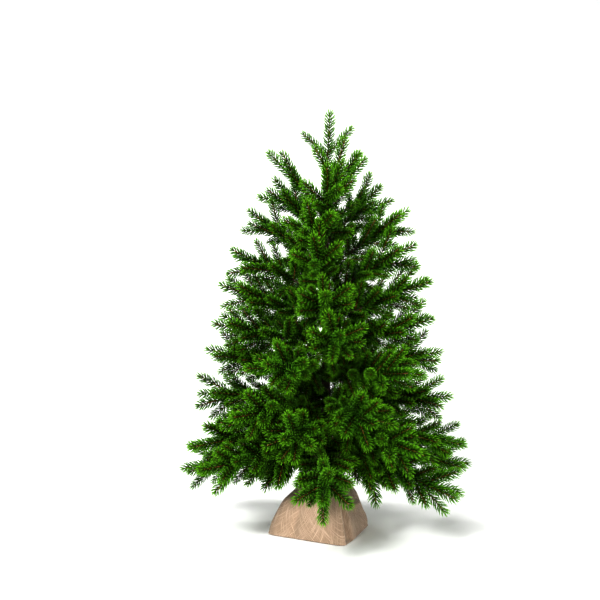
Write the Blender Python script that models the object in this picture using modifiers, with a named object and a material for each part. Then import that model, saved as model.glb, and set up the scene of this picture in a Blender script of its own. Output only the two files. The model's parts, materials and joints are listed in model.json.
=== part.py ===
"""Artificial tabletop tree: wire branches with moulded needle shoots, bound to a steel rod that stands
in a weighted pot inside a burlap sack.

Frame: metres, +Z up, origin on the trunk's axis at the sack's flat underside, front towards -Y.
"""

import math

import bmesh
import bpy
from mathutils import Matrix, Vector

# Crown: tiers of branches from the lowest to the highest
BRANCHES_PER_TIER = (7, 7, 6, 6, 5, 5, 5, 4, 3, 3)
SIDE_PAIRS_PER_TIER = (4, 4, 4, 4, 3, 3, 2, 2, 2, 1)
LOWEST_ROOT = 0.158  # height of the lowest branch roots
HIGHEST_ROOT = 0.565
ROOT_SPREAD = 1.10  # over 1, the tiers stand closer together near the foot
LONGEST_BRANCH = 0.268  # root to tip, lowest tier
SHORTEST_BRANCH = 0.152  # highest tier
LENGTH_FALL = 0.70  # under 1, the lengths fall fastest among the lower tiers
LOWEST_RISE = -10.0  # degrees above level, lowest tier
HIGHEST_RISE = 54.0
RISE_GAIN = 1.25  # over 1, the lower tiers stay near level
FIRST_TURN = 12.0  # degrees about the trunk from +X to the first branch
TIER_TURN = 137.508  # degrees from one tier's first branch to the next one's

# Small differences between like branches, as on a tree shaped by hand. The room between the tiers
# takes up the rise, the roll and the shoots' tilt, so those three are stated at one tier spacing.
TURN_SPREAD = 2.0  # degrees either way
RISE_SPREAD = 6.0
ROLL_SPREAD = 12.0
SPREAD_TIER_SPACING = 0.0452
LENGTH_SPREAD = 0.05  # share of the length either way

# Shoots: each is a needle-covered twig, held here by the slim core that its needles stand on
SHOOT_LENGTH = 0.078
INNER_SHOOT_SHARE = 0.86  # length of the innermost side shoots against the outermost
SHOOT_ROOT_RADIUS = 0.0022
SHOOT_TIP_RADIUS = 0.0040
SHOOT_SIDES = 4
CORE_ROOT_RADIUS = 0.0036  # the branch's own needle-covered end, which the side shoots grow from
CORE_SIDES = 6
SIDE_ANGLE = 36.0  # degrees between the branch and its outermost side shoots
INNER_ANGLE_GAIN = 5.0  # degrees more on the innermost
SIDE_TILT = 9.0  # degrees out of the branch's plane, up on one pair and down on the next, at that spacing
BARE_SHARE = 0.34  # bare stretch of wire before the first side shoot
PAIR_STAGGER = 0.45  # share of a pair's spacing between its two shoots
WIRE_RADIUS = 0.0015
WIRE_SIDES = 5

# Trunk
ROD_RADIUS = 0.003
WRAP_FOOT_RADIUS = 0.0075
WRAP_TOP_RADIUS = 0.0045
WRAP_SWELL = 0.0008  # where a tier's wire feet lie under the tape
WRAP_SWELL_LENGTH = 0.016
WRAP_PAST_ROOTS = 0.030  # tape above the highest roots
WRAP_SIDES = 12

# Leader: the upright top twig
LEADER_HEIGHT = 0.153  # from the top of the tape to the tip
LEADER_LEAN = 0.008  # how far its tip stands to the right of the trunk's axis
LEADER_FORK = 0.068  # height of its lower side shoot above the tape
LEADER_FORK_STEP = 0.006  # from the lower side shoot to the upper one
LEADER_SIDE_LENGTH = 0.066
LEADER_SIDE_ANGLE = 46.0  # degrees from upright
LEADER_SIDE_TURN = 175.0  # degrees about the trunk to the first side shoot

# Foot
POT_RIM_RADIUS = 0.058
POT_FLOOR_RADIUS = 0.050
POT_HEIGHT = 0.050
POT_WALL = 0.0018
WEIGHT_DEPTH = 0.040
WEIGHT_ROOM = 0.0009  # between the weight and the pot's wall, enough for the facets to clear
ROUND_SIDES = 20
SACK_CLOTH = 0.0012
SACK_ROOM = 0.0045  # between the pot's rim and the cloth
SACK_SPREAD = 0.016  # how far the cloth's foot stands out past the rim
SACK_FOOT_ROUND = 0.004
SACK_CORNER_OUT = 0.022  # how much further the front corner is pulled out along the floor
SACK_CORNER_TURN = -45.0  # degrees about the trunk to that corner, before the sack is turned
SACK_CORNER_POINT = 12  # over 1, a narrower corner
SACK_SLUMP_HEIGHT = 0.45  # share of the rim's height where the cloth turns from its spread foot
SACK_SLUMP_IN = 0.38  # share of the spread that it has lost by there
SACK_NECK_HEIGHT = 0.115
SACK_NECK_FOLDS = 0.0035  # thickness of the gathered folds round the trunk
SHOULDER_RINGS = 4  # from the rim up to the neck
SHOULDER_FALL = 1.25  # over 1, the shoulder is rounder at the rim
COLLAR_RISE = 0.012
COLLAR_RADIUS = 0.048
COLLAR_BEND = 0.7  # share of the collar's rise at the middle of its width
SACK_TURN = -23.0  # degrees, so that one corner faces the front
SACK_SIDES = 20
TWINE_RADIUS = 0.0015
TWINE_TURNS = 2.0
TWINE_POINTS_PER_TURN = 12
GAP = 0.0003  # between pieces that touch

# The cloth's outline, from a rounded square at the foot to a circle at the neck
FOOT_SQUARENESS = 4.0
RIM_SQUARENESS = 3.2
NECK_SQUARENESS = 2.0

TIER_SPACING = (HIGHEST_ROOT - LOWEST_ROOT) / (len(BRANCHES_PER_TIER) - 1)
TIER_ROOM = TIER_SPACING / SPREAD_TIER_SPACING
WRAP_TOP = HIGHEST_ROOT + WRAP_PAST_ROOTS
POT_UNDERSIDE = SACK_CLOTH + GAP
WEIGHT_UNDERSIDE = POT_UNDERSIDE + POT_WALL + GAP
WEIGHT_TOP = WEIGHT_UNDERSIDE + WEIGHT_DEPTH
WRAP_FOOT = WEIGHT_TOP + GAP
ROD_TOP = WRAP_TOP - GAP
TWINE_PITCH = 2 * TWINE_RADIUS + GAP
GOLDEN = 0.6180339887
TREE_NAME = "tabletop_tree"


def clear_scene():
    for obj in list(bpy.data.objects):
        bpy.data.objects.remove(obj, do_unlink=True)


def new_collection(name):
    collection = bpy.data.collections.new(name)
    bpy.context.scene.collection.children.link(collection)
    return collection


def new_material(name, color, roughness, metallic=0.0):
    material = bpy.data.materials.new(name)
    material.use_nodes = True
    shader = material.node_tree.nodes["Principled BSDF"]
    shader.inputs["Base Color"].default_value = (*color, 1.0)
    shader.inputs["Roughness"].default_value = roughness
    shader.inputs["Metallic"].default_value = metallic
    return material


def new_object(name, mesh, material, collection):
    if not mesh.materials:
        mesh.materials.append(material)
    mesh.shade_smooth()
    mesh.set_sharp_from_angle(angle=math.radians(40))
    obj = bpy.data.objects.new(name, mesh)
    collection.objects.link(obj)
    return obj


def mesh_from(bm, name):
    mesh = bpy.data.meshes.new(name)
    bm.to_mesh(mesh)
    bm.free()
    return mesh


def spread(index, salt):
    """A steady value from -1 to 1 that differs from one index and one salt to the next."""
    return 2 * (((index + 1) * GOLDEN + salt * GOLDEN**2) % 1) - 1


def tier_share(tier):
    return tier / (len(BRANCHES_PER_TIER) - 1)


def root_height(tier):
    return LOWEST_ROOT + (HIGHEST_ROOT - LOWEST_ROOT) * tier_share(tier) ** ROOT_SPREAD


def wrap_radius(height):
    share = (height - WRAP_FOOT) / (WRAP_TOP - WRAP_FOOT)
    return WRAP_FOOT_RADIUS + (WRAP_TOP_RADIUS - WRAP_FOOT_RADIUS) * share


def add_cone(bm, start, end, start_radius, end_radius, sides):
    along = end - start
    turned = along.to_track_quat("Z", "Y").to_matrix().to_4x4()
    bmesh.ops.create_cone(
        bm,
        cap_ends=True,
        segments=sides,
        radius1=start_radius,
        radius2=end_radius,
        depth=along.length,
        matrix=Matrix.Translation((start + end) / 2) @ turned,
    )


def add_shoot(bm, start, end):
    add_cone(bm, start, end, SHOOT_ROOT_RADIUS, SHOOT_TIP_RADIUS, SHOOT_SIDES)


def turned_piece(name, profile, closed, sides, material, collection):
    """A profile of (radius, height) points, turned about the trunk's axis."""
    mesh = bpy.data.meshes.new(name)
    edges = [(i, i + 1) for i in range(len(profile) - 1)]
    if closed:
        edges.append((len(profile) - 1, 0))
    mesh.from_pydata([(radius, 0, height) for radius, height in profile], edges, [])
    mesh.materials.append(material)
    obj = bpy.data.objects.new(name, mesh)
    collection.objects.link(obj)
    screw = obj.modifiers.new("turn", "SCREW")
    screw.steps = screw.render_steps = sides
    screw.use_merge_vertices = True
    screw.merge_threshold = 0.00001
    screw.use_smooth_shade = True
    return obj


def make_pot(material, collection):
    floor = POT_UNDERSIDE + POT_WALL
    rim = POT_UNDERSIDE + POT_HEIGHT
    profile = [
        (0, floor),
        (POT_FLOOR_RADIUS - POT_WALL, floor),
        (POT_RIM_RADIUS - POT_WALL, rim),
        (POT_RIM_RADIUS, rim),
        (POT_FLOOR_RADIUS, POT_UNDERSIDE),
        (0, POT_UNDERSIDE),
    ]
    turned_piece("base_pot", profile, False, ROUND_SIDES, material, collection)


def pot_inner_radius(height):
    share = (height - POT_UNDERSIDE - POT_WALL) / (POT_HEIGHT - POT_WALL)
    return POT_FLOOR_RADIUS - POT_WALL + (POT_RIM_RADIUS - POT_FLOOR_RADIUS) * share


def make_weight(material, collection):
    """Cast round the rod, a little slimmer than the pot that holds it."""
    hole = ROD_RADIUS + GAP
    profile = [
        (hole, WEIGHT_TOP),
        (pot_inner_radius(WEIGHT_TOP) - WEIGHT_ROOM, WEIGHT_TOP),
        (pot_inner_radius(WEIGHT_UNDERSIDE) - WEIGHT_ROOM, WEIGHT_UNDERSIDE),
        (hole, WEIGHT_UNDERSIDE),
    ]
    turned_piece("base_weight", profile, True, ROUND_SIDES, material, collection)


def make_rod(material, collection):
    bm = bmesh.new()
    foot = Vector((0, 0, WEIGHT_UNDERSIDE))
    add_cone(bm, foot, Vector((0, 0, ROD_TOP)), ROD_RADIUS, ROD_RADIUS, WRAP_SIDES)
    new_object("trunk_rod", mesh_from(bm, "trunk_rod"), material, collection)


def make_wrap(material, collection):
    """A sleeve of tape that thins towards the top, with a swell over each tier's wire feet."""
    outside = [(wrap_radius(WRAP_TOP), WRAP_TOP)]
    for tier in reversed(range(len(BRANCHES_PER_TIER))):
        top = root_height(tier) - 2 * WIRE_RADIUS
        middle = top - WRAP_SWELL_LENGTH / 2
        bottom = top - WRAP_SWELL_LENGTH
        outside.append((wrap_radius(top), top))
        outside.append((wrap_radius(middle) + WRAP_SWELL, middle))
        outside.append((wrap_radius(bottom), bottom))
    outside.append((wrap_radius(WRAP_FOOT), WRAP_FOOT))
    hole = ROD_RADIUS + GAP
    profile = [(hole, WRAP_TOP)] + outside + [(hole, WRAP_FOOT)]
    turned_piece("trunk_wrap", profile, True, WRAP_SIDES, material, collection)


def make_leader(material, collection):
    bm = bmesh.new()
    foot = Vector((0, 0, WRAP_TOP + GAP))
    tip = Vector((LEADER_LEAN, 0, WRAP_TOP + LEADER_HEIGHT))
    add_cone(bm, foot, tip, CORE_ROOT_RADIUS, SHOOT_TIP_RADIUS, CORE_SIDES)
    stem = new_object("leader", mesh_from(bm, "leader"), material, collection)
    lean = math.radians(LEADER_SIDE_ANGLE)
    for side in (0, 1):
        fork = foot.lerp(tip, (LEADER_FORK + LEADER_FORK_STEP * side) / LEADER_HEIGHT)
        turn = math.radians(LEADER_SIDE_TURN + 180 * side)
        level = Vector((math.cos(turn), math.sin(turn), 0))
        out = level * math.sin(lean) + Vector((0, 0, math.cos(lean)))
        bm = bmesh.new()
        add_shoot(bm, fork, fork + out * LEADER_SIDE_LENGTH)
        join_to(stem, mesh_from(bm, f"leader_side_{side}"), material)
    return stem


def join_to(obj, mesh, material):
    """Unites a helper solid, kept among the cutters, with the object."""
    helper = new_object(mesh.name, mesh, material, bpy.data.collections["cutters"])
    helper.matrix_world = obj.matrix_world
    helper.hide_render = True
    helper.display_type = "WIRE"
    union = obj.modifiers.new("union_" + mesh.name, "BOOLEAN")
    union.operation = "UNION"
    union.solver = "EXACT"
    union.use_self = True
    union.object = helper


def make_branch(tier, place, index, material, collection):
    """One branch along its own +X, its origin on the axis it bends about where it leaves the trunk."""
    share = tier_share(tier)
    turn = FIRST_TURN + TIER_TURN * tier + 360 * place / BRANCHES_PER_TIER[tier]
    turn += TURN_SPREAD * spread(index, 1)
    rise = LOWEST_RISE + (HIGHEST_RISE - LOWEST_RISE) * share**RISE_GAIN
    rise += RISE_SPREAD * TIER_ROOM * spread(index, 2)
    length = LONGEST_BRANCH + (SHORTEST_BRANCH - LONGEST_BRANCH) * share**LENGTH_FALL
    length *= 1 + LENGTH_SPREAD * spread(index, 3)
    roll = ROLL_SPREAD * TIER_ROOM * spread(index, 4)
    height = root_height(tier)
    reach = wrap_radius(height) + WIRE_RADIUS + 2 * GAP
    posed = Matrix.Rotation(math.radians(turn), 4, "Z")
    posed @= Matrix.Rotation(math.radians(-rise), 4, "Y") @ Matrix.Rotation(math.radians(roll), 4, "X")
    root = Vector((reach * math.cos(math.radians(turn)), reach * math.sin(math.radians(turn)), height))

    ahead = Vector((1, 0, 0))
    first = BARE_SHARE * length
    last = length - SHOOT_LENGTH
    wire = bmesh.new()
    add_cone(wire, Vector(), ahead * (first + WIRE_RADIUS), WIRE_RADIUS, WIRE_RADIUS, WIRE_SIDES)
    pairs = SIDE_PAIRS_PER_TIER[tier]
    for pair in range(pairs):
        inner = 1 - pair / (pairs - 1) if pairs > 1 else 0
        angle = math.radians(SIDE_ANGLE + INNER_ANGLE_GAIN * inner)
        tilt = math.radians(SIDE_TILT * TIER_ROOM * (-1) ** pair)
        grown = SHOOT_LENGTH * (1 - (1 - INNER_SHOOT_SHARE) * inner)
        spacing = (last - first) / max(pairs - 1 + PAIR_STAGGER, 1)
        for side in (1, -1):
            along = first + spacing * (pair + (PAIR_STAGGER if side == (-1) ** place else 0))
            out = Vector((math.cos(angle), side * math.sin(angle), 0)) * math.cos(tilt)
            out.z = math.sin(tilt)
            start = ahead * along
            size = grown * (1 + LENGTH_SPREAD * spread(index * 2 * pairs + pair * 2 + side, 5))
            add_shoot(wire, start, start + out * size)
    name = f"branch_t{tier + 1:02d}_{place + 1}"
    branch = new_object(name, mesh_from(wire, name), material, collection)
    branch.matrix_world = Matrix.Translation(root) @ posed
    core = bmesh.new()
    core_foot = ahead * (first - 2 * CORE_ROOT_RADIUS)
    add_cone(core, core_foot, ahead * length, CORE_ROOT_RADIUS, SHOOT_TIP_RADIUS, CORE_SIDES)
    join_to(branch, mesh_from(core, f"{name}_core"), material)


def sack_rings():
    """(height, half width, squareness, corner) of the cloth's outside, from the underside to the collar."""
    rim = POT_UNDERSIDE + POT_HEIGHT
    at_rim = POT_RIM_RADIUS + SACK_CLOTH + SACK_ROOM
    foot = at_rim + SACK_SPREAD
    neck = wrap_radius(SACK_NECK_HEIGHT) + SACK_NECK_FOLDS + SACK_CLOTH
    slumped = SACK_CORNER_OUT * (1 - SACK_SLUMP_IN)
    rings = [
        (0, foot - SACK_FOOT_ROUND, FOOT_SQUARENESS, SACK_CORNER_OUT),
        (SACK_FOOT_ROUND, foot, FOOT_SQUARENESS, SACK_CORNER_OUT),
        (rim * SACK_SLUMP_HEIGHT, foot - SACK_SPREAD * SACK_SLUMP_IN, FOOT_SQUARENESS, slumped),
        (rim, at_rim, RIM_SQUARENESS, 0),
    ]
    for step in range(1, SHOULDER_RINGS + 1):
        share = step / SHOULDER_RINGS
        height = rim + (SACK_NECK_HEIGHT - rim) * share
        squareness = RIM_SQUARENESS + (NECK_SQUARENESS - RIM_SQUARENESS) * share
        rings.append((height, at_rim + (neck - at_rim) * share**SHOULDER_FALL, squareness, 0))
    collar_foot = SACK_NECK_HEIGHT + TWINE_PITCH * (TWINE_TURNS + 1) + TWINE_RADIUS
    rings.append((collar_foot, neck, NECK_SQUARENESS, 0))
    bend = collar_foot + COLLAR_RISE * COLLAR_BEND
    rings.append((bend, (neck + COLLAR_RADIUS) / 2, NECK_SQUARENESS, 0))
    rings.append((collar_foot + COLLAR_RISE, COLLAR_RADIUS, NECK_SQUARENESS, 0))
    return rings


def outline_point(half_width, squareness, corner, angle):
    """A point on a rounded square, or on a circle where the squareness is 2, with one corner pulled out."""
    across, deep = math.cos(angle), math.sin(angle)
    size = half_width * (abs(across) ** squareness + abs(deep) ** squareness) ** (-1 / squareness)
    facing = max(0, math.cos(angle - math.radians(SACK_CORNER_TURN)))
    size += corner * facing**SACK_CORNER_POINT
    return size * across, size * deep


def make_sack(material, collection):
    """An open shell raised ring by ring from its underside, then given the cloth's thickness."""
    bm = bmesh.new()
    rings = sack_rings()
    bmesh.ops.create_circle(bm, cap_ends=True, segments=SACK_SIDES, radius=1.0)
    ring = sorted(bm.verts, key=lambda vert: math.atan2(vert.co.y, vert.co.x))
    for step, (height, half_width, squareness, corner) in enumerate(rings):
        if step:
            edges = [edge for edge in bm.edges if all(vert in ring for vert in edge.verts)]
            made = bmesh.ops.extrude_edge_only(bm, edges=edges)["geom"]
            raised = [item for item in made if isinstance(item, bmesh.types.BMVert)]
            ring = sorted(raised, key=lambda vert: math.atan2(vert.co.y, vert.co.x))
        for place, vert in enumerate(ring):
            angle = 2 * math.pi * place / SACK_SIDES - math.pi + math.pi / SACK_SIDES
            across, deep = outline_point(half_width, squareness, corner, angle)
            vert.co = Vector((across, deep, height))
    bmesh.ops.recalc_face_normals(bm, faces=bm.faces)
    underside = min(bm.faces, key=lambda face: face.calc_center_median().z)
    if underside.normal.z > 0:
        bmesh.ops.reverse_faces(bm, faces=bm.faces)
    sack = new_object("sack", mesh_from(bm, "sack"), material, collection)
    sack.rotation_euler.z = math.radians(SACK_TURN)
    cloth = sack.modifiers.new("cloth", "SOLIDIFY")
    cloth.thickness = SACK_CLOTH
    cloth.offset = -1
    cloth.use_even_offset = True


def make_twine(material, collection):
    """Turns of twine drawn tight round the gathered neck."""
    around = wrap_radius(SACK_NECK_HEIGHT) + SACK_NECK_FOLDS + SACK_CLOTH + TWINE_RADIUS + GAP
    around /= math.cos(math.pi / TWINE_POINTS_PER_TURN)  # so that the chords clear the cloth too
    points = round(TWINE_TURNS * TWINE_POINTS_PER_TURN) + 1
    curve = bpy.data.curves.new("sack_tie", "CURVE")
    curve.dimensions = "3D"
    curve.bevel_depth = TWINE_RADIUS
    curve.bevel_resolution = 1
    curve.use_fill_caps = True
    line = curve.splines.new("POLY")
    line.points.add(points - 1)
    for index, point in enumerate(line.points):
        turns = index / TWINE_POINTS_PER_TURN
        angle = 2 * math.pi * turns - math.pi / 2
        height = SACK_NECK_HEIGHT + TWINE_RADIUS + TWINE_PITCH * turns
        point.co = (around * math.cos(angle), around * math.sin(angle), height, 1)
    curve.materials.append(material)
    twine = bpy.data.objects.new("sack_tie", curve)
    collection.objects.link(twine)


def main():
    clear_scene()
    tree = new_collection(TREE_NAME)
    new_collection("cutters")
    burlap = new_material("burlap", (0.52, 0.36, 0.22), 0.9)
    jute = new_material("jute_twine", (0.45, 0.30, 0.16), 0.9)
    plastic = new_material("pot_plastic", (0.03, 0.03, 0.03), 0.5)
    cement = new_material("cast_cement", (0.45, 0.44, 0.42), 0.95)
    steel = new_material("steel_rod", (0.5, 0.5, 0.5), 0.4, 1.0)
    tape = new_material("brown_tape", (0.12, 0.07, 0.04), 0.6)
    foliage = new_material("needle_foliage", (0.04, 0.17, 0.01), 0.45)
    make_sack(burlap, tree)
    make_twine(jute, tree)
    make_pot(plastic, tree)
    make_weight(cement, tree)
    make_rod(steel, tree)
    make_wrap(tape, tree)
    make_leader(foliage, tree)
    index = 0
    for tier, count in enumerate(BRANCHES_PER_TIER):
        for place in range(count):
            make_branch(tier, place, index, foliage, tree)
            index += 1


main()
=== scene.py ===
"""Artificial tabletop tree: needle shoots on wire branches, taped to a steel rod that stands in a weighted
pot, with burlap gathered round the pot and tied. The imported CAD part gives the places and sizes.
"""

import json
import math
import random

import bmesh
import bpy
from mathutils import Matrix, Vector, noise
from mathutils.geometry import intersect_line_line


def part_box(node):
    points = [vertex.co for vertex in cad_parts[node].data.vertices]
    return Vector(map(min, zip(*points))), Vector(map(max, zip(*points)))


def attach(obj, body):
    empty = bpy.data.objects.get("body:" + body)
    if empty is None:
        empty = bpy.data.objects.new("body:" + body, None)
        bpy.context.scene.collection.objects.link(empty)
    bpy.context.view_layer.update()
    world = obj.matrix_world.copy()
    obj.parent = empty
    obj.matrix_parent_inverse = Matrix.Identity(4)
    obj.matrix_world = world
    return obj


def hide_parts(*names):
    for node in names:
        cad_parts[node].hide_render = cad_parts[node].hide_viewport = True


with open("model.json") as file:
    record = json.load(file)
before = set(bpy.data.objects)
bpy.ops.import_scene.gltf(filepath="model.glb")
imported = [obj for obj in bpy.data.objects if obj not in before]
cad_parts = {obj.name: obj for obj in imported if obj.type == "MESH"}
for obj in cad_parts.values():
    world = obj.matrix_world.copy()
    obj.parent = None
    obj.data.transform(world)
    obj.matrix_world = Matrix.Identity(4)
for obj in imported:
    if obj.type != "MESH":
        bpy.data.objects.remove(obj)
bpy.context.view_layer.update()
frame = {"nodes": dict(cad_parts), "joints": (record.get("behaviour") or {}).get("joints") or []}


# ---- Studio ----
# A level camera a little above the middle of the tree, so that its foot is seen slightly from above.
# The floor is matt white paper swept up behind the tree. A broad lamp at the front left is the key
# light, and a weaker one at the front right leaves the right side in soft shade.
camera = bpy.data.objects.new("camera", bpy.data.cameras.new("camera"))
bpy.context.scene.collection.objects.link(camera)
camera.data.sensor_width = 36
camera.data.lens = 55
camera.location = (-0.046, -1.63, 0.408)
camera.rotation_euler = (math.radians(90), 0, 0)
bpy.context.scene.camera = camera
bpy.context.scene.view_settings.view_transform = "Standard"
bpy.context.scene.view_settings.gamma = 0.70  # the contrast of a catalogue print


def srgb(code):
    """A colour from its sRGB hex code, as the linear values that a shader takes."""
    shares = [int(code[i:i + 2], 16) / 255 for i in (1, 3, 5)]
    return (*[s / 12.92 if s <= 0.04045 else ((s + 0.055) / 1.055) ** 2.4 for s in shares], 1.0)


def new_material(name, **values):
    """A material with one Principled shader, whose sockets take these plain values."""
    material = bpy.data.materials.new(name)
    material.use_nodes = True
    shader = material.node_tree.nodes["Principled BSDF"]
    for socket, value in values.items():
        shader.inputs[socket.replace("_", " ")].default_value = value
    return material


def add_node(material, kind, inputs=(), **settings):
    """Adds a node with its settings. Each input is a value, or another node's output to link."""
    node = material.node_tree.nodes.new("ShaderNode" + kind)
    for setting, value in settings.items():
        setattr(node, setting, value)
    for socket, value in dict(inputs).items():
        if isinstance(value, bpy.types.NodeSocket):
            material.node_tree.links.new(value, node.inputs[socket])
        else:
            node.inputs[socket].default_value = value
    return node


def link(material, output, socket):
    """Links a node's output to a socket of the material's shader."""
    shader = material.node_tree.nodes["Principled BSDF"]
    material.node_tree.links.new(output, shader.inputs[socket])


def make_piece(bm, name, *materials):
    """A smooth-shaded object from a bmesh, with its place in its mesh."""
    mesh = bpy.data.meshes.new(name)
    bm.to_mesh(mesh)
    bm.free()
    mesh.shade_smooth()
    for material in materials:
        mesh.materials.append(material)
    piece = bpy.data.objects.new(name, mesh)
    bpy.context.scene.collection.objects.link(piece)
    return piece


paper = new_material("matt_white_paper", Base_Color=srgb("#f6f6f5"), Roughness=0.9)
bm = bmesh.new()
bmesh.ops.create_grid(bm, x_segments=1, y_segments=1, size=3)
bmesh.ops.translate(bm, verts=bm.verts, vec=(0, -1.6, -0.0005))
edge = [e for e in bm.edges if all(v.co.y > 1 for v in e.verts)]
bmesh.ops.spin(
    bm, geom=edge, cent=(0, 1.4, 0.8), axis=(1, 0, 0), dvec=(0, 0, 0), angle=math.radians(90), steps=24
)
edge = [e for e in bm.edges if all(v.co.z > 0.79 for v in e.verts)]
made = bmesh.ops.extrude_edge_only(bm, edges=edge)["geom"]
bmesh.ops.translate(bm, verts=[v for v in made if isinstance(v, bmesh.types.BMVert)], vec=(0, 0, 2.5))
floor = make_piece(bm, "paper_sweep", paper)

for name, place, size, power in (
    ("key_lamp", (-1.0, -2.1, 1.5), 0.6, 100),
    ("fill_lamp", (1.7, -1.7, 0.8), 1.2, 56),
    ("top_lamp", (0.2, 0.3, 2.2), 0.8, 20),
    ("backdrop_lamp", (-1.2, 0.6, 1.9), 0.8, 26),
):
    lamp = bpy.data.objects.new(name, bpy.data.lights.new(name, "AREA"))
    lamp.data.size = size
    lamp.data.energy = power
    lamp.location = place
    aim = Vector((0, 2.0, 0.4)) if name == "backdrop_lamp" else Vector((0, 0, 0.35))
    lamp.rotation_euler = (aim - lamp.location).to_track_quat("-Z", "Y").to_euler()
    bpy.context.scene.collection.objects.link(lamp)
world = bpy.data.worlds.new("white_room")
world.use_nodes = True
world.node_tree.nodes["Background"].inputs["Color"].default_value = srgb("#ffffff")
world.node_tree.nodes["Background"].inputs["Strength"].default_value = 0.09
bpy.context.scene.world = world


# ---- Steel rod ----
# A 6 mm rod of drawn mild steel that carries the whole crown. It is cast into the weight and hidden
# under the tape; its surface has the fine lengthwise lines that the drawing die leaves.
steel = new_material("drawn_mild_steel", Metallic=1.0, Roughness=0.38)
metal_place = add_node(steel, "TexCoord")
drawn = add_node(steel, "Mapping", {"Vector": metal_place.outputs["Object"], "Scale": (1800, 1800, 12)})
lines = add_node(steel, "TexNoise", {"Vector": drawn.outputs["Vector"], "Scale": 1.0, "Detail": 3.0})
shade = add_node(
    steel, "Mix", {"Factor": lines.outputs["Fac"], 6: srgb("#7b7d80"), 7: srgb("#b4b6b8")}, data_type="RGBA"
)
link(steel, shade.outputs[2], "Base Color")
frame["nodes"]["trunk_rod"].data.materials.clear()
frame["nodes"]["trunk_rod"].data.materials.append(steel)


# ---- Moulded shoots ----
# The shoots are polyethylene, injection moulded round a twisted stem: a soft orange-brown stem with needles
# all round it, glossy and yellower at the shoot's young end. Each needle is painted dark at its root, as
# painted shade for the shade deep inside the shoot. A few moulds make them all, so a handful of shapes is
# turned and placed over and over.
SHOOT_LENGTH = 0.078
STEM_LENGTH = 0.070  # the last needles reach past the stem's end
STEM_RADIUS = 0.0008
STEM_BEND = 0.0035  # how far a stem's end is off its straight line
WHORL_SPACING = 0.0050  # a real shoot has 3 to 4 mm, too close to show as single needles
NEEDLES_PER_WHORL = 7
WHORL_TURN = math.radians(29)  # from one whorl to the next, so that the needles stand between each other
NEEDLE_LENGTH = 0.0172  # a real one has 12 to 15 mm; longer and thicker, so that each shows
NEEDLE_RADIUS = 0.00098
NEEDLE_ROOT_ANGLE = 52.0  # degrees from the stem
NEEDLE_TIP_ANGLE = 38.0
NEEDLE_SIDES = 3
SHOOT_MOULDS = 12
CLOSING_SHARE = 0.16  # share of the stem over which its last whorls close up
STEP_LENGTH = 5 * WHORL_SPACING  # a stretch of needles on the branch's own stem
GOLDEN_TURN = math.radians(137.508)
MAP_NAME = "OFBake"  # the colours' map: the needle's tint across, and the place along the needle upwards
NEEDLE_BAND = 0.8  # share of the map's height that the needles use; the stems use the rest

needle_plastic = new_material(
    "moulded_polyethylene_needles", Roughness=0.42, IOR=1.51, Specular_IOR_Level=0.25
)
place = add_node(needle_plastic, "UVMap", uv_map=MAP_NAME)
split = add_node(needle_plastic, "SeparateXYZ", {"Vector": place.outputs["UV"]})
along = add_node(
    needle_plastic, "Math", {0: split.outputs["Y"], 1: NEEDLE_BAND}, operation="DIVIDE", use_clamp=True
)
young = add_node(
    needle_plastic, "Math", {0: along.outputs[0], 1: split.outputs["X"]}, operation="MULTIPLY"
)
# Painted shade: each needle goes from near black at its root, where shade falls deep inside the shoot, to
# green at its tip.
grown = add_node(
    needle_plastic,
    "Mix",
    {"Factor": along.outputs[0], 6: srgb("#082102"), 7: srgb("#45860d")},
    data_type="RGBA",
)
tinted = add_node(
    needle_plastic,
    "Mix",
    {"Factor": young.outputs[0], 6: grown.outputs[2], 7: srgb("#8dcf22")},
    data_type="RGBA",
)
link(needle_plastic, tinted.outputs[2], "Base Color")

stem_plastic = new_material("moulded_polyethylene_stem", Roughness=0.5, IOR=1.51)
place = add_node(stem_plastic, "UVMap", uv_map=MAP_NAME)
rough = add_node(stem_plastic, "TexNoise", {"Vector": place.outputs["UV"], "Scale": 60.0, "Detail": 2.0})
bark = add_node(
    stem_plastic,
    "Mix",
    {"Factor": rough.outputs["Fac"], 6: srgb("#5c3a10"), 7: srgb("#9c6a20")},
    data_type="RGBA",
)
link(stem_plastic, bark.outputs[2], "Base Color")


def add_tube(bm, points, radii, sides, pointed=False):
    """Extrudes a round end along the points. Each vertex keeps its place along and around the tube."""
    along = bm.verts.layers.float.get("along") or bm.verts.layers.float.new("along")
    around = bm.verts.layers.float.get("around") or bm.verts.layers.float.new("around")
    steps = [(b - a).normalized() for a, b in zip(points, points[1:])]
    ways = [steps[0]] + [(a + b).normalized() for a, b in zip(steps, steps[1:])] + [steps[-1]]
    upright = ways[0].to_track_quat("Z", "Y").to_matrix().to_4x4()
    made = bmesh.ops.create_circle(
        bm, cap_ends=True, segments=sides, radius=radii[0], matrix=Matrix.Translation(points[0]) @ upright
    )
    ring = made["verts"]
    for vert in ring:
        flat = upright.inverted() @ (vert.co - points[0])
        vert[around] = math.atan2(flat.y, flat.x) / math.tau % 1
    end = ring[0].link_faces[0]
    gone = 0.0
    for step in range(1, len(points)):
        made = bmesh.ops.extrude_face_region(bm, geom=[end])["geom"]
        ring = [item for item in made if isinstance(item, bmesh.types.BMVert)]
        end = next(item for item in made if isinstance(item, bmesh.types.BMFace))
        turned = ways[step - 1].rotation_difference(ways[step]).to_matrix()
        gone += (points[step] - points[step - 1]).length
        grown = radii[step] / radii[step - 1]
        for vert in ring:
            vert.co = points[step] + turned @ (vert.co - points[step - 1]) * grown
            vert[along] = gone
    if pointed:
        bmesh.ops.pointmerge(bm, verts=ring, merge_co=points[-1])


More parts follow.
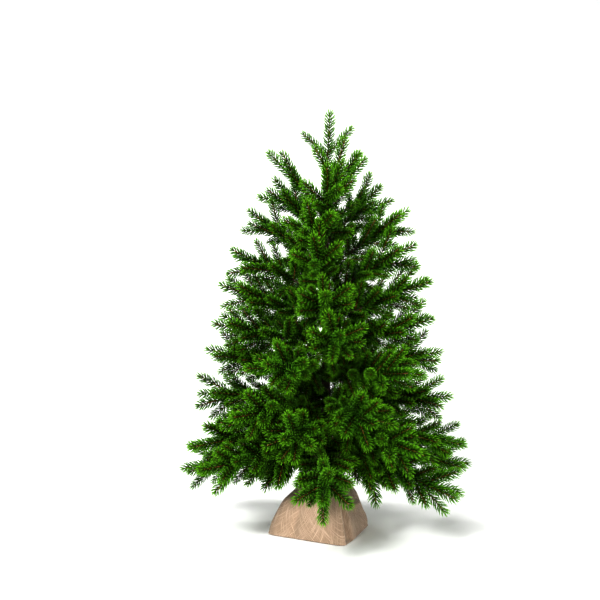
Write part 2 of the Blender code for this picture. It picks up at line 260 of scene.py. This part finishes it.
def map_tubes(bm, place):
    """Lays every face on the map at place(along, around), with no face across the seam."""
    along = bm.verts.layers.float["along"]
    around = bm.verts.layers.float["around"]
    layer = bm.loops.layers.uv.new(MAP_NAME)
    for face in bm.faces:
        turns = [loop.vert[around] for loop in face.loops]
        over = max(turns) - min(turns) > 0.5
        for loop, turn in zip(face.loops, turns):
            loop[layer].uv = place(loop.vert[along], turn + 1 if over and turn < 0.5 else turn)


def add_copy(bm, mesh, matrix, tint=0.0):
    """Adds a mesh to the bmesh at this place, with its needles' tint shifted."""
    copy = mesh.copy()
    copy.transform(matrix)
    first = len(bm.faces)
    bm.from_mesh(copy)
    bpy.data.meshes.remove(copy)
    if tint:
        layer = bm.loops.layers.uv[MAP_NAME]
        bm.faces.ensure_lookup_table()
        for face in bm.faces[first:]:
            for loop in face.loops:
                loop[layer].uv.x += tint


bm = bmesh.new()
bend = [(0.0, NEEDLE_ROOT_ANGLE), (0.62, NEEDLE_ROOT_ANGLE), (1.0, NEEDLE_TIP_ANGLE)]
points = [Vector((0, 0, 0))]
for (before, _), (after, angle) in zip(bend, bend[1:]):
    turn = math.radians(angle)
    points.append(points[-1] + NEEDLE_LENGTH * (after - before) * Vector((math.sin(turn), 0, math.cos(turn))))
add_tube(bm, points, [NEEDLE_RADIUS * 0.8, NEEDLE_RADIUS, NEEDLE_RADIUS * 0.7], NEEDLE_SIDES, pointed=True)
bmesh.ops.recalc_face_normals(bm, faces=bm.faces)
map_tubes(bm, lambda along, around: (0.01 * around, NEEDLE_BAND * (0.02 + 0.96 * along / NEEDLE_LENGTH)))
needle = bpy.data.meshes.new("needle")
bm.to_mesh(needle)
bm.free()


def mould_shoot(name, seed, length, ends):
    """A stem on +Z with whorls of needles. Where it ends, the last whorls close up to a tip.

    Some moulds are fresher, and so lighter, all over."""
    chance = random.Random(seed)
    bend = STEM_BEND * chance.uniform(0.2, 1.0) if ends else 0.0
    fresh = chance.uniform(0.0, 0.24) if ends else 0.0
    bm = bmesh.new()
    stem = [Vector((bend * (i / 6) ** 2, 0, length * i / 6)) for i in range(7)]
    add_tube(bm, stem, [STEM_RADIUS * (1.2 - 0.06 * i) for i in range(7)], 6)
    bmesh.ops.recalc_face_normals(bm, faces=bm.faces)
    map_tubes(bm, lambda along, around: (0.98 * along / length, NEEDLE_BAND + 0.02 + 0.08 * around))
    for face in bm.faces:
        face.material_index = 1
    whorls = round(length / WHORL_SPACING)
    for whorl in range(whorls):
        share = (whorl + 0.5) / whorls
        closing = max(0.0, share - (1 - CLOSING_SHARE)) / CLOSING_SHARE if ends else 0.0
        for place in range(NEEDLES_PER_WHORL):
            near = share + chance.uniform(-0.15, 0.15) / whorls
            root = Vector((bend * near**2, 0, length * near))
            size = chance.uniform(0.92, 1.06) * (1 - 0.36 * closing**1.5)
            size *= min(1.0, 0.74 + 2.2 * share) if ends else 1.0
            lean = -math.radians(30 * closing + chance.uniform(-5, 5))
            turn = math.tau * place / NEEDLES_PER_WHORL + WHORL_TURN * whorl + chance.uniform(-0.1, 0.1)
            posed = Matrix.Translation(root) @ Matrix.Rotation(turn, 4, "Z")
            posed @= Matrix.Rotation(lean, 4, "Y") @ Matrix.Scale(size, 4)
            tint = 0.01 + fresh + 0.46 * (share**4 if ends else 0.0) + 0.26 * chance.random() ** 2
            add_copy(bm, needle, posed, tint)
    mesh = bpy.data.meshes.new(name)
    bm.to_mesh(mesh)
    bm.free()
    return mesh


shoots = [mould_shoot(f"shoot_{i}", i, STEM_LENGTH, True) for i in range(SHOOT_MOULDS)]
stretch = mould_shoot("stretch", 99, STEP_LENGTH, False)


# ---- Branches ----
# Each branch is a soft iron wire bound in brown-green crepe tape, bare next to the trunk and covered
# with shoots further out. The tape grips the shoots' stems in pairs along it, so that each bends by
# hand, and the last shoot carries on from the wire's end.
CORE_END_RADIUS = 0.004  # of the flat ends that mark each shoot's tip on the CAD nodes
WIRE_RADIUS = 0.0014
WIRE_INTO_TRUNK = 0.0035
TAPE_WIDTH = 0.006
FILLER_STEP = 0.012  # how far along the branch a filler stands from the side shoot beside it
INNER_SPACING = 0.0078  # between the short shoots on the wire next to the trunk
SKIRT_BELOW = 0.17  # root height below which a branch has shoots that hang over the sack
SKIRT_SHOOTS = 8
SKIRT_START = 0.030  # from the trunk to the first of them
SKIRT_REACH = 0.064
SKIRT_ASIDE = 54  # degrees either way, at the most
SKIRT_FALL = (36, 62)  # degrees below level
OPEN_ABOVE = 0.54  # root height above which a branch has no fillers, so that the top stays airy

crepe = new_material("waxed_crepe_tape", Roughness=0.62)
place = add_node(crepe, "UVMap", uv_map=MAP_NAME)
split = add_node(crepe, "SeparateXYZ", {"Vector": place.outputs["UV"]})
wound = add_node(crepe, "Math", {0: split.outputs["X"], 1: 0.3 / TAPE_WIDTH}, operation="MULTIPLY")
wound = add_node(crepe, "Math", {0: wound.outputs[0], 1: split.outputs["Y"]}, operation="ADD")
lap = add_node(crepe, "Math", {0: wound.outputs[0]}, operation="FRACT")
wrinkles = add_node(crepe, "TexNoise", {"Vector": place.outputs["UV"], "Scale": 90.0, "Detail": 3.0})
# Darker towards one edge of each turn of tape and lighter towards the other, mottled by the wrinkles.
lap_and_wrinkle_tone = add_node(crepe, "Math", {0: lap.outputs[0], 1: wrinkles.outputs["Fac"]}, operation="MULTIPLY")
tape_shade = add_node(
    crepe, "Mix", {"Factor": lap_and_wrinkle_tone.outputs[0], 6: srgb("#2a2114"), 7: srgb("#6b573a")}, data_type="RGBA"
)
link(crepe, tape_shade.outputs[2], "Base Color")
ridge = add_node(crepe, "Bump", {"Height": lap_and_wrinkle_tone.outputs[0], "Strength": 0.6, "Distance": 0.0004})
link(crepe, ridge.outputs["Normal"], "Normal")


def flat_ends(node):
    """The centre and outward direction of each flat round end on a CAD node, one for each shoot."""
    bm = bmesh.new()
    bm.from_mesh(frame["nodes"][node].data)
    bmesh.ops.remove_doubles(bm, verts=bm.verts, dist=1e-6)
    bmesh.ops.dissolve_limit(bm, angle_limit=math.radians(0.3), verts=bm.verts, edges=bm.edges)
    ends = []
    for face in bm.faces:
        centre = face.calc_center_median()
        if all(abs((v.co - centre).length - CORE_END_RADIUS) < 1e-4 for v in face.verts):
            ends.append((centre, face.normal.copy()))
    bm.free()
    return ends


def add_shoot(bm, root, tip, number):
    """Turns a moulded shoot about its own line and sets it from root to tip."""
    way = tip - root
    posed = Matrix.Translation(root) @ way.to_track_quat("Z", "Y").to_matrix().to_4x4()
    posed @= Matrix.Rotation(GOLDEN_TURN * number, 4, "Z") @ Matrix.Scale(way.length / SHOOT_LENGTH, 4)
    add_copy(bm, shoots[number % SHOOT_MOULDS], posed)


def grow_shoots(node, foot, first_number, from_side, fillers):
    """The shoots of one CAD node whose stem starts at foot, and the place of its lowest side shoot.

    Its cores give every shoot's tip. The soft fillers between them have no core of their own."""
    chance = random.Random(first_number)
    ends = flat_ends(node)
    main_tip, _ = max(ends, key=lambda end: (end[0] - foot).normalized().dot(end[1]))
    ahead = (main_tip - foot).normalized()
    bm = bmesh.new()
    sides = []
    number = first_number
    for tip, way in ends:
        if tip == main_tip:
            continue
        number += 1
        root, _ = intersect_line_line(foot, main_tip, tip, tip - way)
        sides.append((root - foot).dot(ahead))
        add_shoot(bm, root, tip, number)
        if fillers:
            turned = Matrix.Rotation(math.radians(90 + chance.uniform(-24, 24)), 3, ahead)
            start = root + ahead * FILLER_STEP * chance.uniform(0.2, 1.0)
            add_shoot(bm, start, start + turned @ (tip - root) * chance.uniform(0.78, 0.98), number + 3)
    level = ahead.cross(Vector((0, 0, 1))).normalized()
    inner = round(min(sides) / INNER_SPACING) if fillers else 0
    for index in range(inner):
        start = foot + ahead * min(sides) * (0.03 + 0.93 * (index + chance.random()) / inner)
        out = Matrix.Rotation(GOLDEN_TURN * (index + number), 3, ahead) @ level
        out = (out + ahead * chance.uniform(0.25, 1.2)).normalized()
        add_shoot(bm, start, start + out * SHOOT_LENGTH * chance.uniform(0.62, 0.9), number + index)
    for index in range(SKIRT_SHOOTS if foot.z < SKIRT_BELOW else 0):
        start = foot + ahead * (SKIRT_START + SKIRT_REACH * index / SKIRT_SHOOTS)
        aside = math.radians(SKIRT_ASIDE * (-1) ** index * chance.uniform(0.15, 1.0))
        fall = math.radians(chance.uniform(*SKIRT_FALL))
        out = Matrix.Rotation(aside, 3, "Z") @ Vector((ahead.x, ahead.y, 0)).normalized() * math.cos(fall)
        out.z = -math.sin(fall)
        add_shoot(bm, start, start + out * SHOOT_LENGTH * chance.uniform(0.92, 1.15), number + index)
    last_root = main_tip - ahead * SHOOT_LENGTH
    add_shoot(bm, last_root, main_tip, first_number + len(ends))
    first = min(sides) - STEP_LENGTH / 4 if from_side else 0.0
    reach = (last_root - foot).dot(ahead) - first
    steps = max(1, math.ceil(reach / STEP_LENGTH))
    for step in range(steps):
        start = foot + ahead * (first + reach * step / steps)
        posed = Matrix.Translation(start) @ ahead.to_track_quat("Z", "Y").to_matrix().to_4x4()
        turned = Matrix.Rotation(GOLDEN_TURN * (first_number + step), 4, "Z")
        add_copy(bm, stretch, posed @ turned @ Matrix.Diagonal((1, 1, reach / steps / STEP_LENGTH, 1)))
    return bm, foot + ahead * (min(sides) + STEP_LENGTH / 2)


for number, joint in enumerate(frame["joints"]):
    branch = joint["child"]
    pivot = Vector(joint["pos_m"])
    bm, wire_end = grow_shoots(branch, pivot, 11 * number, True, pivot.z < OPEN_ABOVE)
    needles = make_piece(bm, f"{branch}_shoots", needle_plastic, stem_plastic)
    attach(needles, branch)
    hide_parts(branch)

    bm = bmesh.new()
    ahead = (wire_end - pivot).normalized()
    reach = (wire_end - pivot).length
    points = [pivot + ahead * (reach * i / 8 - WIRE_INTO_TRUNK * (1 - i / 8)) for i in range(9)]
    add_tube(bm, points, [WIRE_RADIUS * (1.15 - 0.03 * i) for i in range(9)], 8)
    bmesh.ops.recalc_face_normals(bm, faces=bm.faces)
    map_tubes(bm, lambda along, around: (along / 0.3, around / 2))
    wire = make_piece(bm, f"{branch}_wire", crepe)
    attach(wire, branch)


# ---- Leader ----
# The upright top twig is moulded like the shoots, longer, with two side shoots low on it, and is
# pushed onto the rod's end and taped there.
leader_foot = Vector((0, 0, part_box("leader")[0].z))
bm, _ = grow_shoots("leader", leader_foot, 5, False, False)
leader = make_piece(bm, "leader_shoots", needle_plastic, stem_plastic)
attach(leader, "stand")
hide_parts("leader")


# ---- Trunk tape ----
# The same crepe tape binds the wires' feet to the rod, wound upwards with each turn half over the one
# below. The wires show as long ridges under it, below the place where each branch leaves the trunk.
TURN_RISE = 0.009
LAP_HEIGHT = 0.0003
FOOT_LENGTH = 0.055  # how far a wire's foot runs down the rod
FOOT_HEIGHT = 0.0013
FOOT_WIDTH = math.radians(17)

wrap_low, wrap_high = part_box("trunk_wrap")
wrap_verts = [v.co for v in frame["nodes"]["trunk_wrap"].data.vertices]
foot_radius = max(v.xy.length for v in wrap_verts if v.z < wrap_low.z + 1e-4)
top_radius = max(v.xy.length for v in wrap_verts if v.z > wrap_high.z - 1e-4)
bore = min(v.xy.length for v in wrap_verts)
wrap_length = wrap_high.z - wrap_low.z
rings = round(wrap_length / 0.0016)
bm = bmesh.new()
profile = [Vector((bore, 0, wrap_low.z))]
for ring in range(rings + 1):
    share = ring / rings
    radius = foot_radius + (top_radius - foot_radius) * share
    profile.append(Vector((radius, 0, wrap_low.z + wrap_length * share)))
profile.append(Vector((bore, 0, wrap_high.z)))
corners = [bm.verts.new(point) for point in profile]
line = [bm.edges.new(pair) for pair in zip(corners, corners[1:] + corners[:1])]
bmesh.ops.spin(
    bm,
    geom=corners + line,
    cent=(0, 0, 0),
    axis=(0, 0, 1),
    dvec=(0, 0, 0),
    angle=math.tau,
    steps=40,
    use_merge=True,
)
bmesh.ops.remove_doubles(bm, verts=bm.verts, dist=1e-6)
feet = [(math.atan2(j["pos_m"][1], j["pos_m"][0]), j["pos_m"][2]) for j in frame["joints"]]
for vert in bm.verts:
    if vert.co.xy.length < bore + 1e-5:
        continue
    angle = math.atan2(vert.co.y, vert.co.x)
    rise = LAP_HEIGHT * ((vert.co.z / TURN_RISE - angle / math.tau) % 1)
    for turn, height in feet:
        below = (height - vert.co.z) / FOOT_LENGTH
        if -0.08 < below < 1:
            away = (angle - turn + math.pi) % math.tau - math.pi
            bump = math.exp(-((away / FOOT_WIDTH) ** 2)) * min(1.0, (below + 0.08) * 8, (1 - below) * 4)
            rise = max(rise, rise + FOOT_HEIGHT * bump)
    vert.co.xy *= 1 + rise / vert.co.xy.length
bmesh.ops.recalc_face_normals(bm, faces=bm.faces)
layer = bm.loops.layers.uv.new(MAP_NAME)
for face in bm.faces:
    turns = [math.atan2(loop.vert.co.y, loop.vert.co.x) / math.tau % 1 for loop in face.loops]
    over = max(turns) - min(turns) > 0.5
    inner = 0.5 * (sum(loop.vert.co.xy.length for loop in face.loops) < len(turns) * (bore + 1e-5))
    for loop, turn in zip(face.loops, turns):
        turn = turn + 1 if over and turn < 0.5 else turn
        loop[layer].uv = ((loop.vert.co.z - wrap_low.z) / wrap_length, inner + turn / 4)
wrap = make_piece(bm, "trunk_tape", crepe)
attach(wrap, "stand")
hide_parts("trunk_wrap")


# ---- Pot ----
# A thin black pot of moulded polypropylene, as plants are sold in, stands inside the sack. Its wall has
# the faint sandy grain of a blasted mould.
pot_plastic = new_material("moulded_polypropylene", Roughness=0.5)
pot_place = add_node(pot_plastic, "TexCoord")
grain = add_node(
    pot_plastic, "TexNoise", {"Vector": pot_place.outputs["Object"], "Scale": 900.0, "Detail": 2.0}
)
pot_shade = add_node(
    pot_plastic,
    "Mix",
    {"Factor": grain.outputs["Fac"], 6: srgb("#141414"), 7: srgb("#2b2a29")},
    data_type="RGBA",
)
link(pot_plastic, pot_shade.outputs[2], "Base Color")
sanded = add_node(pot_plastic, "Bump", {"Height": grain.outputs["Fac"], "Strength": 0.3, "Distance": 0.0001})
link(pot_plastic, sanded.outputs["Normal"], "Normal")
frame["nodes"]["base_pot"].data.materials.clear()
frame["nodes"]["base_pot"].data.materials.append(pot_plastic)


# ---- Cast weight ----
# Cement mortar poured round the rod holds the tree upright. Sand shows on its face, and small air holes are
# painted on it as dark spots of painted shade.
cement = new_material("cast_cement_mortar", Roughness=0.92)
cement_place = add_node(cement, "TexCoord")
sand = add_node(cement, "TexNoise", {"Vector": cement_place.outputs["Object"], "Scale": 500.0, "Detail": 4.0})
holes = add_node(cement, "TexVoronoi", {"Vector": cement_place.outputs["Object"], "Scale": 220.0})
hole_shade_mask = add_node(cement, "Math", {0: holes.outputs["Distance"], 1: 0.25}, operation="GREATER_THAN")
mortar = add_node(
    cement, "Mix", {"Factor": sand.outputs["Fac"], 6: srgb("#8e8b85"), 7: srgb("#bbb8b0")}, data_type="RGBA"
)
# Painted shade: dark spots where air holes would be, as the face has no holes of its own.
mortar = add_node(
    cement, "Mix", {"Factor": hole_shade_mask.outputs[0], 6: srgb("#5f5c57"), 7: mortar.outputs[2]}, data_type="RGBA"
)
link(cement, mortar.outputs[2], "Base Color")
cast = add_node(cement, "Bump", {"Height": sand.outputs["Fac"], "Strength": 0.5, "Distance": 0.0004})
link(cement, cast.outputs["Normal"], "Normal")
frame["nodes"]["base_weight"].data.materials.clear()
frame["nodes"]["base_weight"].data.materials.append(cement)


# ---- Burlap sack ----
# Plain-woven jute lies under the pot, is drawn up round it and gathered at the trunk. Its slack stands
# out in corners at the floor, with a deep crease beside the front one, and its edge flares over the tie
# as a ruffled collar. Real gathers hold nearly three times the cloth that is modelled here.
CLOTH = 0.0012
THREAD = 0.0024  # a real thread is 1.5 mm wide, too fine to show as a weave
POINTS_ROUND = 320
SIDES = ((-121.5, 0.0835), (-18.0, 0.0645), (62.0, 0.0780), (152.0, 0.0800))  # facing, and distance
CORNER_SHARPNESS = 9.0
RIM_ROOM = 0.0022  # between the pot's rim and the cloth's outside, at the least
CREASES = (  # where round the trunk, depth, width before it and after it, and the height it dies out at
    (-71.0, 0.0160, 1.8, 7.0, 0.080),
    (24.0, 0.0060, 3.0, 8.0, 0.070),
    (-134.0, 0.0030, 4.0, 7.0, 0.085),
    (100.0, 0.0070, 4.0, 9.0, 0.075),
    (-172.0, 0.0060, 8.0, 3.5, 0.070),
)
PLEATS = 13
PLEAT_DEPTH = 0.0026
RUFFLES = 9
RUFFLE_DEPTH = 0.006
COLLAR_RADIUS = 0.048
NECK_INSIDE_TIE = 0.0036  # from the tie's outside in to the gathered cloth
FOOT_TURN = 0.004  # height over which the cloth turns up from the floor
CREASE_FADE = 0.035  # height over which a crease dies out
POT_TAPER = 0.008  # how much narrower the pot is at its floor than at its rim
WRINKLE_DEPTH = 0.0022
WRINKLES_PER_RADIUS = 2.2

_, sack_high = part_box("sack")
_, pot_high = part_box("base_pot")
tie_low, tie_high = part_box("sack_tie")
neck_radius = tie_high.x - NECK_INSIDE_TIE
rim_outside = pot_high.x + RIM_ROOM
profile = [  # height, share of the foot's outline, radius where it is round, and how round it is
    (0.0, 0.02, 0.0, 0.0),
    (0.0, 0.45, 0.0, 0.0),
    (0.0, 0.96, 0.0, 0.0),
    (0.0050, 1.00, 0.0, 0.0),
    (0.0260, 0.93, 0.0, 0.0),
    (pot_high.z, 0.80, 0.062, 0.05),
    (0.0680, 0.690, 0.053, 0.30),
    (0.0880, 0.480, 0.034, 0.65),
    (tie_low.z, 0.150, neck_radius, 1.0),
    (tie_high.z, 0.150, neck_radius, 1.0),
    (tie_high.z + 0.008, 0.3, 0.026, 1.0),
    (sack_high.z, 0.5, COLLAR_RADIUS, 1.0),
]
steps_between = (5, 9, 5, 6, 8, 7, 8, 8, 3, 4, 6)


def between(knots, step, share):
    """A smooth curve through the knots, between knot step and the next one."""
    a, b, c, d = (knots[min(max(step + i, 0), len(knots) - 1)] for i in (-1, 0, 1, 2))
    t, t2, t3 = share, share**2, share**3
    return [
        0.5 * (2 * q + (r - p) * t + (2 * p - 5 * q + 4 * r - s) * t2 + (3 * q - p - 3 * r + s) * t3)
        for p, q, r, s in zip(a, b, c, d)
    ]


def cloth_point(angle, height, share, round_radius, roundness):
    """Where the cloth lies at this angle on one ring of its profile."""
    pushed = 0.0
    for facing, distance in SIDES:
        pushed += max(0.0, math.cos(angle - math.radians(facing)) / distance) ** CORNER_SHARPNESS
    foot = pushed ** (-1 / CORNER_SHARPNESS)
    radius = foot * share * (1 - roundness) + round_radius * roundness
    wall = min(1.0, max(0.0, height) / FOOT_TURN)
    for turn, depth, before, after, top in CREASES:
        away = math.degrees((angle - math.radians(turn) + math.pi) % math.tau - math.pi)
        fade = wall * min(1.0, max(0.0, (top - height) / CREASE_FADE))
        radius -= depth * fade * math.exp(-((away / (after if away > 0 else before)) ** 2))
    inside = min(1.0, max(0.0, (pot_high.z + 0.006 - height) / 0.006))
    if wall:
        radius = max(radius, (rim_outside - POT_TAPER * (1 - height / pot_high.z)) * inside)
    drawn = min(1.0, max(0.0, (height - pot_high.z) / (tie_low.z - pot_high.z)))
    wander = angle + 0.22 * math.sin(2 * angle + 1) + 0.12 * math.sin(5 * angle)
    if height < tie_high.z + 0.001:
        radius -= PLEAT_DEPTH * drawn**0.6 * (0.5 + 0.5 * math.cos(PLEATS * wander))
    flare = min(1.0, max(0.0, (height - tie_high.z) / (sack_high.z - tie_high.z)))
    radius += RUFFLE_DEPTH * flare * math.sin(RUFFLES * wander)
    lift = RUFFLE_DEPTH * 0.6 * flare * math.cos(RUFFLES * wander + 0.6)
    seen = Vector((math.cos(angle), math.sin(angle), height * 14)) * WRINKLES_PER_RADIUS
    radius += WRINKLE_DEPTH * wall * (1 - drawn) * max(0.0, noise.noise(seen))
    return Vector((radius * math.cos(angle), radius * math.sin(angle), height + lift))


bm = bmesh.new()
bmesh.ops.create_circle(bm, cap_ends=True, cap_tris=True, segments=POINTS_ROUND, radius=1.0)
turn_of = bm.verts.layers.float.new("turn")
flat_reach = bm.verts.layers.float.new("flat_reach")
centre = min(bm.verts, key=lambda vert: vert.co.length)
centre.co.z = 0.0
ring = [vert for vert in bm.verts if vert is not centre]
for vert in ring:
    vert[turn_of] = math.atan2(vert.co.y, vert.co.x)
levels = [
    between(profile, step, i / count) for step, count in enumerate(steps_between) for i in range(count)
] + [list(profile[-1])]
for index, (height, share, round_radius, roundness) in enumerate(levels):
    if index:
        around = set(ring)
        edges = {e for v in ring for e in v.link_edges if e.other_vert(v) in around}
        made = bmesh.ops.extrude_edge_only(bm, edges=list(edges))["geom"]
        ring = [item for item in made if isinstance(item, bmesh.types.BMVert)]
    for vert in ring:
        before = vert.co.copy() if index else centre.co
        vert.co = cloth_point(vert[turn_of], max(0.0, height), share, round_radius, roundness)
        vert[flat_reach] += (vert.co - before).length
bmesh.ops.recalc_face_normals(bm, faces=bm.faces)
if centre.link_faces[0].normal.z > 0:
    bmesh.ops.reverse_faces(bm, faces=bm.faces)
flat_width = 2.02 * max(vert[flat_reach] for vert in bm.verts)
layer = bm.loops.layers.uv.new(MAP_NAME)
for face in bm.faces:
    middle = next((loop.vert[turn_of] for loop in face.loops if loop.vert is not centre), 0.0)
    for loop in face.loops:
        out = loop.vert[flat_reach] / flat_width
        turn = loop.vert[turn_of] if loop.vert is not centre else middle
        turn += math.radians(45 - SIDES[0][0])
        loop[layer].uv = (0.5 + out * math.cos(turn), 0.5 + out * math.sin(turn))

burlap = new_material("woven_jute_burlap", Roughness=0.9, Sheen_Weight=0.2, Sheen_Roughness=0.6)
place = add_node(burlap, "UVMap", uv_map=MAP_NAME)
threads = flat_width / THREAD
split = add_node(burlap, "SeparateXYZ", {"Vector": place.outputs["UV"]})
yarns = []
crowns = []
for axis, stretched in (("X", (threads, threads / 14, 1)), ("Y", (threads / 14, threads, 1))):
    laid = add_node(burlap, "Mapping", {"Vector": place.outputs["UV"], "Scale": stretched})
    yarns.append(add_node(burlap, "TexNoise", {"Vector": laid.outputs["Vector"], "Scale": 1.0, "Detail": 0.0}))
    turns = add_node(burlap, "Math", {0: split.outputs[axis], 1: math.pi * threads}, operation="MULTIPLY")
    wave = add_node(burlap, "Math", {0: turns.outputs[0]}, operation="SINE")
    crowns.append(add_node(burlap, "Math", {0: wave.outputs[0]}, operation="ABSOLUTE"))
weave = add_node(burlap, "Math", {0: crowns[0].outputs[0], 1: crowns[1].outputs[0]}, operation="MULTIPLY")
slub = add_node(burlap, "Math", {0: yarns[0].outputs["Fac"], 1: yarns[1].outputs["Fac"]}, operation="MAXIMUM")
spread = add_node(burlap, "MapRange", {"Value": slub.outputs[0], "From Min": 0.45, "From Max": 0.80})
yarn = add_node(
    burlap,
    "Mix",
    {"Factor": spread.outputs[0], 6: srgb("#9a8570"), 7: srgb("#bda692")},
    data_type="RGBA",
)
# Painted shade: the gaps between the threads are darker, for the shade that falls between the yarns.
thread_gap_shade = add_node(burlap, "MapRange", {"Value": weave.outputs[0], "From Max": 0.42, "To Min": 0.25})
woven = add_node(
    burlap, "Mix", {"Factor": thread_gap_shade.outputs[0], 6: srgb("#7c6854"), 7: yarn.outputs[2]}, data_type="RGBA"
)
link(burlap, woven.outputs[2], "Base Color")
height = add_node(burlap, "Math", {0: weave.outputs[0], 1: spread.outputs[0]}, operation="ADD")
raised = add_node(burlap, "Bump", {"Height": height.outputs[0], "Strength": 0.3, "Distance": 0.0005})
link(burlap, raised.outputs["Normal"], "Normal")

sack = make_piece(bm, "burlap_sack", burlap)
thick = sack.modifiers.new("cloth", "SOLIDIFY")
thick.thickness = CLOTH
thick.offset = -1
thick.use_even_offset = False
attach(sack, "stand")
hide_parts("sack")


# ---- Tie ----
# Two turns of three-ply jute twine, bound tight round the gathered neck, hold it shut. The knot and its
# ends are hidden under the collar and are left out.
PLY = 0.0008
PLIES = 3
TWIST = 0.009  # length of one full twist
twine_radius = (tie_high.z - tie_low.z) / 6
turns = 2.0
twine = new_material("twisted_jute_twine", Roughness=0.85, Sheen_Weight=0.2)
twine_place = add_node(twine, "TexCoord")
fibres = add_node(
    twine, "TexNoise", {"Vector": twine_place.outputs["Object"], "Scale": 1500.0, "Detail": 3.0}
)
fibre_shade = add_node(
    twine, "Mix", {"Factor": fibres.outputs["Fac"], 6: srgb("#8a6337"), 7: srgb("#c9a36c")}, data_type="RGBA"
)
link(twine, fibre_shade.outputs[2], "Base Color")
coil = tie_high.x - twine_radius
pitch = (tie_high.z - tie_low.z - 2 * twine_radius) / turns
bm = bmesh.new()
steps = 150
for ply in range(PLIES):
    points = []
    for i in range(steps + 1):
        angle = math.tau * turns * i / steps - math.pi / 2
        out = Vector((math.cos(angle), math.sin(angle), 0))
        middle = out * coil + Vector((0, 0, tie_low.z + twine_radius + pitch * turns * i / steps))
        twist = math.tau * (turns * math.tau * coil * i / steps / TWIST + ply / PLIES)
        points.append(middle + PLY * (out * math.cos(twist) + Vector((0, 0, 1)) * math.sin(twist)))
    add_tube(bm, points, [PLY] * len(points), 6)
bmesh.ops.recalc_face_normals(bm, faces=bm.faces)
tie = make_piece(bm, "twine_tie", twine)
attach(tie, "stand")
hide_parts("sack_tie")
